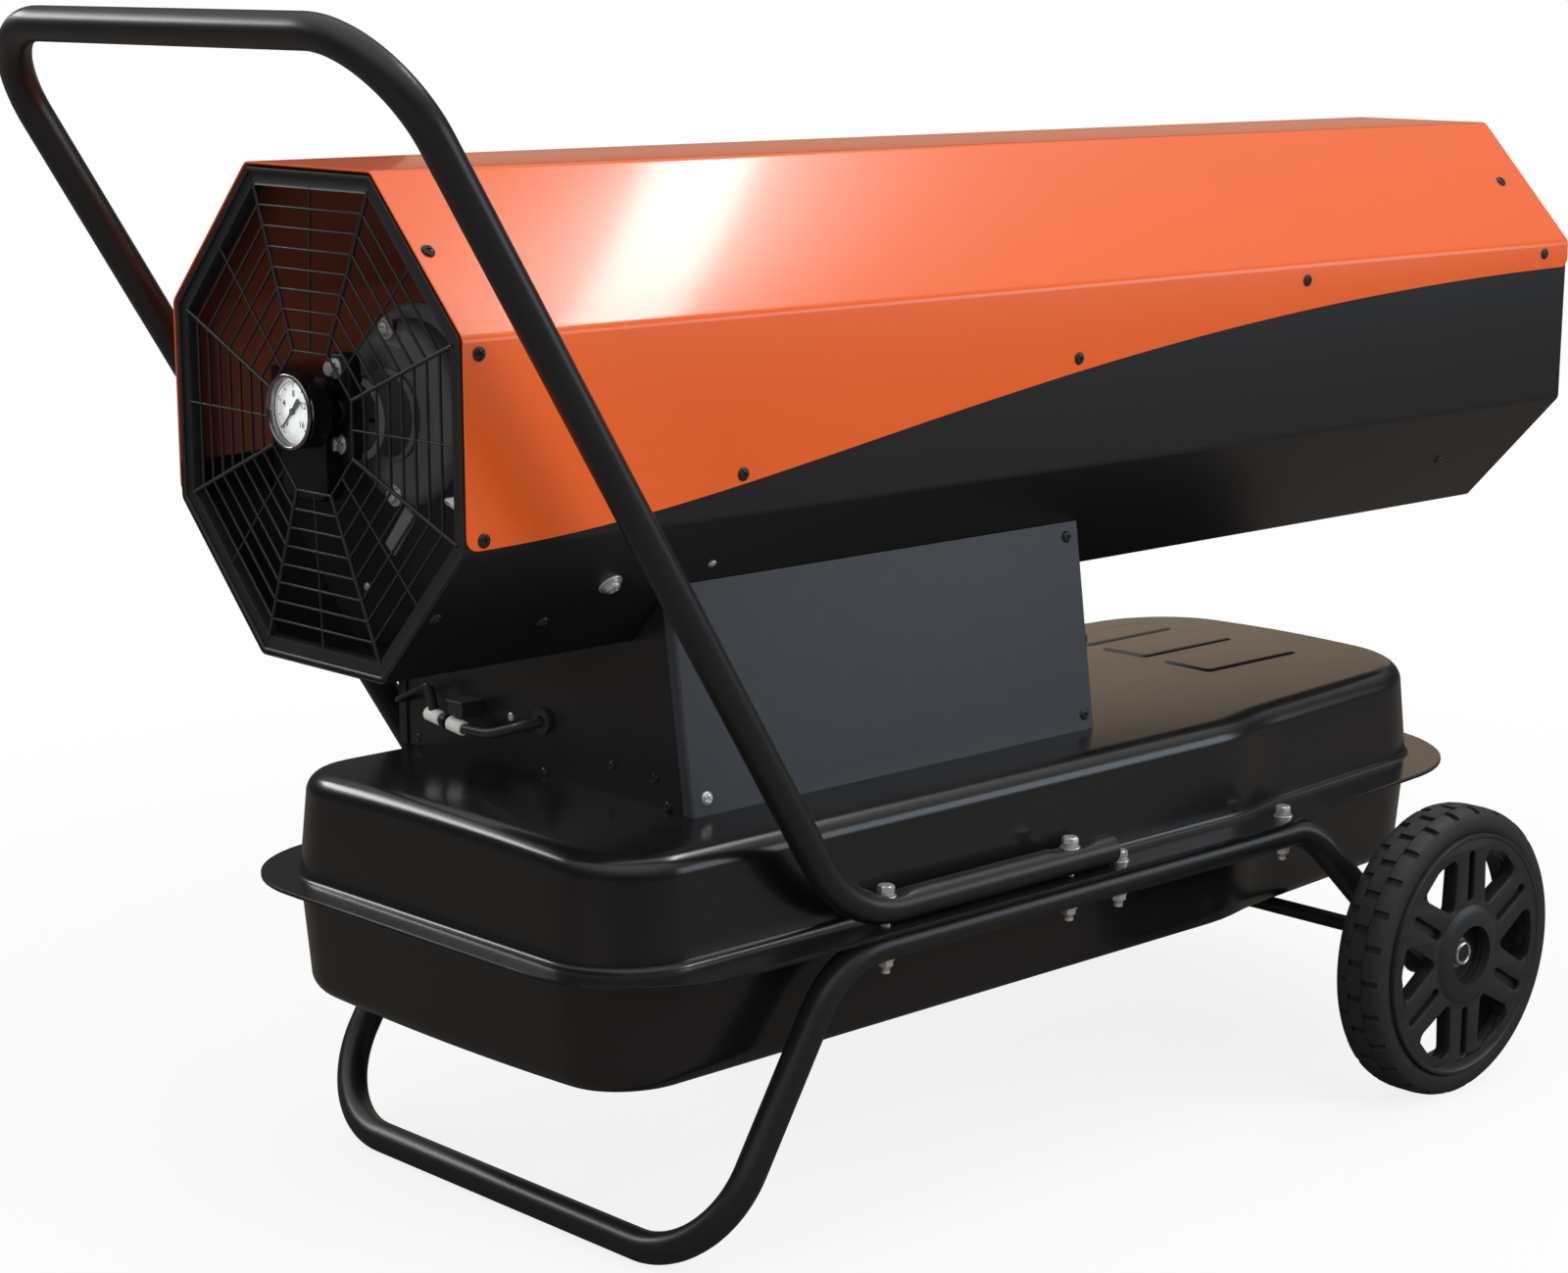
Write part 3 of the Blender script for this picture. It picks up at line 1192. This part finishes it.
def make_tank(settings):
    """Upper and lower pressed pans with rounded rims and the seam flange, and the embossed pads."""
    rim, bead, crown = settings.rim / MM, settings.bead / MM, settings.crown / MM
    draft, wall, rim_steps, bead_steps = 6.0, 1.5, 9, 5
    for name, face, height, way in (("upper", FLANGE, PAN_HEIGHT, 1), ("lower", LOW_FLANGE, 92.0, -1)):
        top = face + way * height
        arch = way * crown
        rings = [pan_ring(amount, top, arch) for amount in (172, 140, 110, 85, 62, 44, 32, 26)]
        for k in range(rim_steps, 0, -1):
            t = math.pi / 2 * k / rim_steps
            rings.append(pan_ring(draft + rim * (1 - math.cos(t)), top - way * rim * (1 - math.sin(t)), arch))
        for part in (0.0, 0.06, 0.5, 0.94):
            low = (top - way * rim) * (1 - part) + (face + way * bead) * part
            rings.append(pan_ring(draft * (1 - part), low, arch * (1 - part)))
        for k in range(bead_steps + 1):
            t = math.pi / 2 * k / bead_steps
            rings.append(pan_ring(-bead * (1 - math.cos(t)), face + way * bead * (1 - math.sin(t))))
        flange = [(-bead - 1.5, face), (-REACH + 2.6, face), (-REACH + 1.2, face),
                  (-REACH, face - way * 0.5), (-REACH, face - way * (wall - 0.1))]
        inside = [(wall, face - way * wall), (draft + wall, top - way * rim),
                  (draft + rim + wall, top - way * wall)]
        rings += [pan_ring(amount, z) for amount, z in flange + inside]
        heap = Heap()
        heap.rings(rings)
        piece = heap.make(f"tank_{name}_pressing", FINISH["tank black"], sharp=55)
        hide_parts(f"tank_{name}_pan")
    make_pads(crown)


def make_pads(crown):
    """Three rectangles embossed in the tank's top, behind the box."""
    pads = Heap()
    top = FLANGE + PAN_HEIGHT
    profile = ((-3, -0.6), (-2, 0.05), (-0.6, 0.9), (1.0, 1.3), (4, 1.3), (14, 1.4))
    for x0, x1, y0, y1 in ((918, 1044, -70, -16), (922, 1047, 10, 62), (926, 1046, 84, 128)):
        corners = [(x0, y0), (x1, y0), (x1, y1), (x0, y1)]
        rings = []
        for amount, z in profile:
            outline = rounded(inset(corners, amount), 6, 15)
            rings.append([ground(p.x, p.y, top + crowned(p.y, crown) + z) for p in outline])
        pads.rings(rings, True, False, True)
    pads.make("tank_embossed_pads", FINISH["tank black"], sharp=60)


def make_tank_fittings():
    """Ribs of the fuel cap and the dial of the level gauge."""
    cap = Heap()
    neck = Matrix.Translation(ground(800, 118, 0))
    ribs = 40
    for k in range(ribs):
        box_form(cap, (39.2, -1.1, 331), (40.0, 1.1, 342), neck @ spin(k, ribs))
    cap.make("fuel_cap_ribs", FINISH["control plastic"], "cap", edge=0.3, rows=1)
    dial = Heap()
    gauge = Matrix.Translation(ground(930, 118, 0))
    lathe(dial, [(0, 335.0), (15, 335.0), (15, 335.4), (0, 335.4)], gauge, 40)
    dial.make("level_dial", FINISH["dial white"])
    marks = Heap()
    for k in range(5):
        box_form(marks, (9, -0.5, 335.35), (13.5, 0.5, 335.6), gauge @ degrees(45 * k))
    box_form(marks, (-2, -0.7, 335.5), (10.5, 0.7, 336.0), gauge @ degrees(170))
    marks.make("level_marks", FINISH["dial ink"], sharp=20)


# ------------------------------------------------------------------ tubes
def squeeze(low_side, stations):
    """Returns a function that flattens a tube's seat round the bolts, on its upper or lower side."""
    flat, end = 13, 24  # mm from a bolt: the seat is level up to the first and gone at the second

    def shape(point, offset):
        """Offset from the centre line, cut off at the level of the seat."""
        x = (point.x - FAN_END) / MM
        near = min(abs(x - s) for s in stations)
        if near > end or abs(abs(point.y) - SPREAD * MM) > 0.004:
            return offset
        fade = max(near - flat, 0) / (end - flat)
        limit = (TUBE - SEAT * (0.5 + 0.5 * math.cos(math.pi * fade))) * MM
        moved = offset.copy()
        moved.z = max(moved.z, -limit) if low_side else min(moved.z, limit)
        return moved

    return shape


def make_tubes():
    """Push handle and U-shaped frame, each one bent tube with flattened bolt seats, and the axle."""
    run, level = FLANGE + SHEET_GAP + TUBE, LOW_FLANGE - SHEET_GAP - TUBE

    def leg(side):
        """One side of the handle, from its end up to the grip."""
        y = side * SPREAD
        return [ground(592, y, run), ground(296, y, run), ground(-109, y, 904)]

    def rail(side):
        """One side of the frame, from the rear leg to the foot bar."""
        y = side * SPREAD
        rear = ground(920, side * 298, WHEEL_R - 9)
        return [rear, ground(850, y, level), ground(288, y, level), ground(157, y, TUBE)]

    path = bend_path(leg(-1) + leg(1)[::-1], [0.095, 0.080, 0.080, 0.095], 3.5, 0.008)
    heap = Heap()
    heap.rings(tube_rings(path, TUBE * MM, 32, squeeze(False, BOLTS[:2])))
    piece = heap.make("handle_bent_tube", FINISH["tube black"], sharp=50, edge=1.0)
    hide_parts("handle_tube")
    path = bend_path(rail(-1) + rail(1)[::-1], [0.042, 0.075, 0.080, 0.080, 0.075, 0.042], 3.5, 0.008)
    heap = Heap()
    heap.rings(tube_rings(path, TUBE * MM, 32, squeeze(True, BOLTS)))
    piece = heap.make("frame_bent_tube", FINISH["tube black"], sharp=50, edge=1.0)
    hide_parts("frame_tube")
    rod = Heap()
    place = basis(ground(WHEEL_X, 0, WHEEL_R), (0, 1, 0))
    lathe(rod, [(6.2, -363), (7, -362), (7, 362), (6.2, 363)], place, 28)
    bar_piece = rod.make("axle_rod", FINISH["tube black"])
    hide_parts("axle")


def make_bolts():
    """Through bolts of the handle and the frame, with spring washers, washers and nuts."""
    handle_seat = FLANGE + SHEET_GAP + 2 * TUBE - SEAT
    low_seat = LOW_FLANGE - SHEET_GAP - 2 * TUBE + SEAT
    up, down = Vector((0, 0, 1)), Vector((0, 0, -1))
    for word, side in (("near", -1), ("far", 1)):
        for kind, stations, seat in (("handle", BOLTS[:2], handle_seat), ("frame", BOLTS[2:], FLANGE + 0.2)):
            for i, x in enumerate(stations):
                heap = Heap()
                spot = ground(x, side * SPREAD, seat)
                washer(heap, spot, up, 8.2, 4, 1.6)
                spring_washer(heap, spot + up * 1.6 * MM, up, 6.6, 4.0, 1.9)
                hex_bolt(heap, spot + up * 4.3 * MM, up, 12, 5.3, turn=x)
                under = ground(x, side * SPREAD, low_seat)
                washer(heap, under, down, 7.6, 4, 1.6)
                hex_bolt(heap, under + down * 1.6 * MM, down, 11, 5.4, turn=x * 2)
                lathe(heap, [(3.9, 0), (3.9, 9.6), (3.2, 10.4), (0, 10.4)], basis(under, down), 20)
                lathe(heap, [(3.9, -12), (3.9, 0.5)], basis(under, up), 20)
                middle = Matrix.Translation(ground(x, side * SPREAD, 0))
                lathe(heap, [(3.9, low_seat), (3.9, seat + 4)], middle, 20)
                piece = heap.make(f"{kind}_fastener_{word}_{i + 1}", FINISH["bright zinc"], sharp=35)
                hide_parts(f"{kind}_bolt_{word}_{i + 1}")


# ------------------------------------------------------------------ wheels
def tread_depth(angle, y, blocks, deep):
    """How far the tread is cut at an angle and a distance across the tyre."""
    rows = ((4.5, 16.0), (16.4, 30.6), (31.0, 42.5))
    for i, (a, b) in enumerate(rows):
        if a <= y <= b:
            phase = (angle * blocks / (2 * math.pi) + 0.5 * (i % 2)) % 1.0
            return deep if 0.01 < phase < 0.21 else 0.0
        if y in (16.2, 30.8):
            return deep * 0.7
    return 0.0


def make_tyre(word, side, blocks, deep):
    """Rubber tyre with three staggered rows of blocks and rounded shoulders."""
    place = Matrix.Translation(ground(WHEEL_X, side * 365, WHEEL_R)) @ degrees(180 if side > 0 else 0)
    inner = [(106.2, 1.5), (109, 0.2), (113, 0.0), (118.5, 0.7), (122.0, 2.4), (124.2, 4.6), (125.6, 8.5)]
    tread = [(126.3, 13), (126.3, 15.9), (126.4, 16.2), (126.5, 16.4), (126.5, 23.5),
             (126.5, 30.6), (126.4, 30.8), (126.3, 31.1), (126.3, 34)]
    outer = [(125.6, 38.5), (124.2, 42.4), (122.0, 44.6), (118.5, 46.3), (113, 47), (106.2, 45.5)]
    across = inner + tread + outer
    phases = (0.0, 0.02, 0.11, 0.20, 0.22, 0.36, 0.50, 0.52, 0.61, 0.70, 0.72, 0.86)
    rings = []
    for block in range(blocks):
        for phase in phases:
            t = 2 * math.pi * (block + phase) / blocks
            ring = []
            for r, y in across:
                r -= tread_depth(t, y, blocks, deep) * (0.6 if r < 125 else 1.0)
                ring.append(at(place, r * math.cos(t), y, r * math.sin(t)))
            rings.append(ring)
    rings.append(rings[0])
    heap = Heap()
    points, faces = skin(rings, False)
    count = len(across)
    for r in range(len(rings) - 1):
        faces.append((r * count, (r + 1) * count, (r + 1) * count + count - 1, r * count + count - 1))
    heap.add(points, faces)
    piece = heap.make(f"tyre_{word}_rubber", FINISH["tyre rubber"], f"wheel_{word}", sharp=38)
    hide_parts(f"tyre_{word}")


def turned_outline(points, turn):
    """Points (x, y) turned round the middle by an angle in radians."""
    c, s = math.cos(turn), math.sin(turn)
    return [(p.x * c - p.y * s, p.x * s + p.y * c) for p in points]


def spoke_window(turn, inner=44.0, outer=93.0, half_spoke=20.0):
    """Opening between two spokes, as (x, y): a corner near the hub and an arc along the rim."""
    half = math.radians(30)
    corners = []
    for sign in (-1, 1):
        edge = sign * half
        along = Vector((math.cos(edge), math.sin(edge)))
        side = Vector((-along.y, along.x)) * -sign
        low = math.sqrt(inner ** 2 - half_spoke ** 2)
        high = math.sqrt(outer ** 2 - half_spoke ** 2)
        corners.append((along * low + side * half_spoke, along * high + side * half_spoke))
    (low_a, high_a), (low_b, high_b) = corners
    start, end = math.atan2(high_a.y, high_a.x), math.atan2(high_b.y, high_b.x)
    steps = 6
    angles = [start + (end - start) * k / steps for k in range(steps + 1)]
    rim = [Vector((outer * math.cos(t), outer * math.sin(t))) for t in angles]
    radii = [5.0, 9.0] + [0] * (steps - 1) + [9.0]
    return turned_outline(rounded([(low_a + low_b) / 2] + rim, radii, 15), turn)


def spoke_groove(turn):
    """Long groove down the middle of a spoke."""
    inner, outer, half = 47.0, 92.0, 4.2
    corners = [(inner, -half), (outer, -half), (outer, half), (inner, half)]
    return turned_outline(rounded(corners, half * 0.98, 20), turn)


def flat_circle(radius, sides):
    """Circle as points (x, y)."""
    angles = [2 * math.pi * k / sides for k in range(sides)]
    return [(radius * math.cos(t), radius * math.sin(t)) for t in angles]


def make_wheel(word, side):
    """Moulded wheel disc: rim, six grooved spokes, deep windows and a recessed hub."""
    body = f"wheel_{word}"
    out = Vector((0, side, 0))
    face = basis(ground(WHEEL_X, side * 366, WHEEL_R), out)
    turns = [math.radians(30 + 60 * k) for k in range(6)]
    ring, hub = flat_circle(105.6, 96), flat_circle(26, 40)
    windows = [spoke_window(t + math.radians(30)) for t in turns]
    grooves = [spoke_groove(t) for t in turns]
    low = face @ Matrix.Translation((0, 0, -5 * MM))
    holes = windows + grooves + [hub]
    front = plate(f"wheel_{word}_face", ring, holes, 6.0, 1.1, FINISH["wheel plastic"], low, body)
    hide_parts(body)
    deep = face @ Matrix.Translation((0, 0, -14 * MM))
    tight = [spoke_window(t + math.radians(30), 43.5, 93.5, 19.0) for t in turns]
    plate(f"wheel_{word}_core", ring, tight + [hub], 9.5, 0.6, FINISH["wheel plastic"], deep, body)
    lip = Heap()
    profile = [(98, 0.6), (101.5, 1.0), (103.2, 2.2), (105.4, 2.0), (105.9, 0.6), (105.9, -40),
               (103, -41), (100, -40), (98, -14), (94.5, -12), (94, -3), (95, 0.2)]
    lathe(lip, profile, face, 96, True)
    collar = [(26.0, 5.4), (29.5, 5.0), (37, 4.2), (41.5, 2.6), (44, 0.8), (44, -2), (26.0, -2)]
    lathe(lip, collar, face, 72, True)
    lip.make(f"wheel_{word}_lip", FINISH["wheel plastic"], body, sharp=40)
    seat = Heap()
    profile = [(7.4, -11.5), (25.5, -11.5), (26.6, -10.5), (26.6, -50), (18, -51), (7.4, -51)]
    lathe(seat, profile, face, 48, True)
    seat.make(f"wheel_{word}_hub", FINISH["wheel plastic"], body, sharp=40)
    nut = Heap()
    lathe(nut, [(7.2, -11.2), (13.5, -11.2), (13.5, -9.6), (7.2, -9.6)], face, 36, True)
    profile = [(7.2, -9.6), (10.8, -9.6), (11.0, -9.0), (11.0, -4.4), (10.2, -3.0), (8.8, -2.4), (8.0, -3.0)]
    lathe(nut, profile + [(7.2, -4.2)], face, 36, True)
    ring_piece = nut.make(f"lock_nut_{word}_ring", FINISH["chrome"], "heater", sharp=50)
    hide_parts(f"lock_nut_{word}")
    end = Heap()
    lathe(end, [(6.9, -12), (6.9, -4.4), (6.2, -3.6), (0, -3.4)], face, 28)
    end.make(f"axle_end_{word}", FINISH["bright zinc"], "heater", sharp=40)


# ------------------------------------------------------------------ stage
def aim(lamp, target):
    """Turns a lamp or camera towards a point."""
    lamp.rotation_euler = (Vector(target) - lamp.location).to_track_quat("-Z", "Y").to_euler()


def soft_box(name, spot, target, wide, tall, power):
    """Rectangular studio lamp: its sides in metres and its power in watts."""
    data = bpy.data.lights.new(name, "AREA")
    data.shape = "RECTANGLE"
    data.size = wide
    data.size_y = tall
    data.energy = power
    lamp = bpy.data.objects.new(name, data)
    lamp.location = spot
    aim(lamp, target)
    bpy.context.scene.collection.objects.link(lamp)
    return lamp


def make_camera(settings):
    """Camera at the place the photograph was taken from."""
    data = bpy.data.cameras.new("studio_camera")
    data.lens = settings.lens
    data.sensor_width = 36.0
    data.shift_x, data.shift_y = -0.0582, 0.0618
    data.clip_end = 60
    camera = bpy.data.objects.new("studio_camera", data)
    yaw, pitch, roll = 0.7909, 0.2276, -0.0072  # radians
    ahead = Vector((math.cos(pitch) * math.cos(yaw), math.cos(pitch) * math.sin(yaw), -math.sin(pitch)))
    right = Vector((math.sin(yaw), -math.cos(yaw), 0))
    down = ahead.cross(right)
    c, s = math.cos(roll), math.sin(roll)
    turn = Matrix((right * c + down * s, right * s - down * c, -ahead)).transposed()
    camera.matrix_world = Matrix.Translation(here(-1335.27, -1918.36, 310.63)) @ turn.to_4x4()
    bpy.context.scene.collection.objects.link(camera)
    bpy.context.scene.camera = camera


def seen_ray(tree):
    """1 on rays that come from the camera, also through glass, and 0 on the others."""
    way = node(tree, "LightPath").outputs
    return maths(tree, "MAXIMUM", way["Is Camera Ray"], way["Is Transmission Ray"])


def pale_floor():
    """Floor that shows near white, keeps the heater's shadow and gives it a dim warm reflection."""
    made, tree, shade = shader("pale floor")
    seen = seen_ray(tree)
    tree.links.new(blend(tree, (0.15, 0.135, 0.122), (0.82, 0.82, 0.82), seen), shade["Base Color"])
    shade["Roughness"].default_value = 0.75
    shade["Specular IOR Level"].default_value = 0.05
    bump(tree, shade, placed(tree, "Moulded grain", Scale=300.0)["Height"], 0.05)
    glow = node(tree, "Emission", Strength=1.0).outputs[0]
    place = node(tree, "TexCoord").outputs["Object"]
    far = node(tree, "VectorMath", {0: place}, operation="LENGTH").outputs["Value"]
    clear = ramp(tree, far, 0.75, 1.9, 0.84, 1.0, smooth=True)
    surface = tree.nodes["Principled BSDF"].outputs[0]
    mix = node(tree, "MixShader", {0: maths(tree, "MULTIPLY", seen, clear), 1: surface, 2: glow})
    tree.links.new(mix.outputs[0], tree.nodes["Material Output"].inputs["Surface"])
    return made


def room_light(settings):
    """World that shows white, and lights the heater dimly all round and more from above."""
    world = bpy.data.worlds.new("studio")
    world.use_nodes = True
    bpy.context.scene.world = world
    tree = world.node_tree
    soft = tree.nodes["Background"]
    soft.inputs["Color"].default_value = (1.0, 0.98, 0.96, 1)
    place = node(tree, "TexCoord").outputs["Generated"]
    high = node(tree, "SeparateXYZ", {0: place}).outputs["Z"]
    power = ramp(tree, high, 0.25, 0.95, settings.horizon, settings.dome, smooth=True)
    tree.links.new(power, soft.inputs["Strength"])
    white = node(tree, "Background", {"Color": (1, 1, 1, 1)}, Strength=1.0).outputs[0]
    mix = node(tree, "MixShader", {0: seen_ray(tree), 1: soft.outputs[0], 2: white})
    tree.links.new(mix.outputs[0], tree.nodes["World Output"].inputs["Surface"])


def make_stage(settings):
    """Pale floor, room light, soft boxes and the camera."""
    scene = bpy.context.scene
    scene.view_settings.view_transform = "Standard"
    room_light(settings)
    floor = Heap()
    floor.rings([circle(9000, 0, 96)], True, False, True)
    mesh = bpy.data.meshes.new("floor")
    mesh.from_pydata([tuple(p) for p in floor.points], [], floor.faces)
    slab = bpy.data.objects.new("floor", mesh)
    slab.location.z = -0.0005
    mesh.materials.append(pale_floor())
    scene.collection.objects.link(slab)
    middle = (0, 0, 0.5)
    near_fill = soft_box("near_fill", (0.3, -3.2, 1.9), middle, 3.0, 2.0, 72)
    fan_fill = soft_box("fan_fill", (-3.2, -0.8, 0.8), (-0.4, 0, 0.45), 1.6, 1.2, 36)
    for lamp in (near_fill, fan_fill):
        lamp.visible_glossy = False
    soft_box("window_strip", (1.48, -0.47, 2.86), (-0.367, -0.127, 0.754), 0.8, 0.17, 10)
    soft_box("back_window", (-1.35, 2.6, 1.95), (-0.45, 0.1, 0.32), 1.8, 0.4, 24)
    warm = soft_box("far_wall", (2.6, 2.2, 0.9), (0.4, 0, 0.33), 2.4, 0.8, 2.6)
    warm.data.color = (1.0, 0.74, 0.52)
    warm.visible_camera = False
    sheen = soft_box("near_sheen", (2.9, -3.0, 1.35), (0, -0.15, 0.4), 2.4, 1.5, 26)
    sheen.data.color = (0.80, 0.90, 1.0)
    make_camera(settings)


# ------------------------------------------------------------------ operators
class HEATER_OT_finishes(bpy.types.Operator):
    """Build the paints, plastics and metals and give every solid its finish"""

    bl_idname = "heater.finishes"
    bl_label = "Finishes"

    def execute(self, context):
        make_finishes(context.scene.heater_finish)
        dress_solids()
        return {"FINISHED"}


class HEATER_OT_housing(bpy.types.Operator):
    """Build the two folded shells and their screws"""

    bl_idname = "heater.housing"
    bl_label = "Housing shells"

    def execute(self, context):
        make_shells(context.scene.heater_housing)
        make_housing_screws()
        return {"FINISHED"}


class HEATER_OT_guard(bpy.types.Operator):
    """Build the octagonal fan guard"""

    bl_idname = "heater.guard"
    bl_label = "Fan guard"

    def execute(self, context):
        make_guard()
        return {"FINISHED"}


class HEATER_OT_gauge(bpy.types.Operator):
    """Build the pressure gauge, the pump, the motor and their bolts"""

    bl_idname = "heater.gauge"
    bl_label = "Gauge and motor details"

    def execute(self, context):
        make_gauge()
        make_pump()
        make_motor()
        make_motor_details()
        return {"FINISHED"}


class HEATER_OT_box(bpy.types.Operator):
    """Build the cover of the support box, its screws and the hose on its front wall"""

    bl_idname = "heater.box"
    bl_label = "Support box and hose"

    def execute(self, context):
        make_cover()
        make_box_details()
        make_hose()
        return {"FINISHED"}


class HEATER_OT_controls(bpy.types.Operator):
    """Build the marks, glass and screws of the control panel"""

    bl_idname = "heater.controls"
    bl_label = "Control panel"

    def execute(self, context):
        make_controls()
        return {"FINISHED"}


class HEATER_OT_tank(bpy.types.Operator):
    """Build the pressed fuel tank and what stands on it"""

    bl_idname = "heater.tank"
    bl_label = "Fuel tank"

    def execute(self, context):
        make_tank(context.scene.heater_tank)
        make_tank_fittings()
        return {"FINISHED"}


class HEATER_OT_tubes(bpy.types.Operator):
    """Build the push handle, the frame, the axle and their bolts"""

    bl_idname = "heater.tubes"
    bl_label = "Handle and frame"

    def execute(self, context):
        make_tubes()
        make_bolts()
        return {"FINISHED"}


class HEATER_OT_wheels(bpy.types.Operator):
    """Build both wheels with their tyres and lock nuts"""

    bl_idname = "heater.wheels"
    bl_label = "Wheels"

    def execute(self, context):
        settings = context.scene.heater_wheel
        for word, side in (("near", -1), ("far", 1)):
            make_tyre(word, side, settings.blocks, settings.groove / MM)
            make_wheel(word, side)
        return {"FINISHED"}


class HEATER_OT_stage(bpy.types.Operator):
    """Build the floor, the lamps and the camera"""

    bl_idname = "heater.stage"
    bl_label = "Stage"

    def execute(self, context):
        make_stage(context.scene.heater_stage)
        return {"FINISHED"}


OPERATORS = (
    HEATER_OT_finishes, HEATER_OT_housing, HEATER_OT_guard, HEATER_OT_gauge, HEATER_OT_box,
    HEATER_OT_controls, HEATER_OT_tank, HEATER_OT_tubes, HEATER_OT_wheels, HEATER_OT_stage,
)
SETTINGS = {
    "heater_finish": FinishSettings, "heater_housing": HousingSettings, "heater_tank": TankSettings,
    "heater_wheel": WheelSettings, "heater_stage": StageSettings,
}


class HEATER_PT_sidebar(bpy.types.Panel):
    """Settings and build steps of the heater"""

    bl_idname = "HEATER_PT_sidebar"
    bl_label = "Forced air heater"
    bl_space_type = "VIEW_3D"
    bl_region_type = "UI"
    bl_category = "Heater"

    def draw(self, context):
        for name, kind in SETTINGS.items():
            box = self.layout.box()
            box.label(text=kind.__doc__)
            for key in kind.__annotations__:
                box.prop(getattr(context.scene, name), key)
        for operator in OPERATORS:
            self.layout.operator(operator.bl_idname)


def register():
    """Adds the settings, the steps and the panel to Blender."""
    for kind in (*SETTINGS.values(), *OPERATORS, HEATER_PT_sidebar):
        bpy.utils.register_class(kind)
    for name, kind in SETTINGS.items():
        setattr(bpy.types.Scene, name, bpy.props.PointerProperty(type=kind))


def unregister():
    """Takes the settings, the steps and the panel out again."""
    for name in SETTINGS:
        delattr(bpy.types.Scene, name)
    for kind in reversed((*SETTINGS.values(), *OPERATORS, HEATER_PT_sidebar)):
        bpy.utils.unregister_class(kind)


def main():
    """Builds everything in order and writes the two boxes that are compared."""
    register()
    for operator in OPERATORS:
        step = operator.bl_idname.split(".")[1]
        getattr(bpy.ops.heater, step)()


if __name__ == "__main__":
    main()
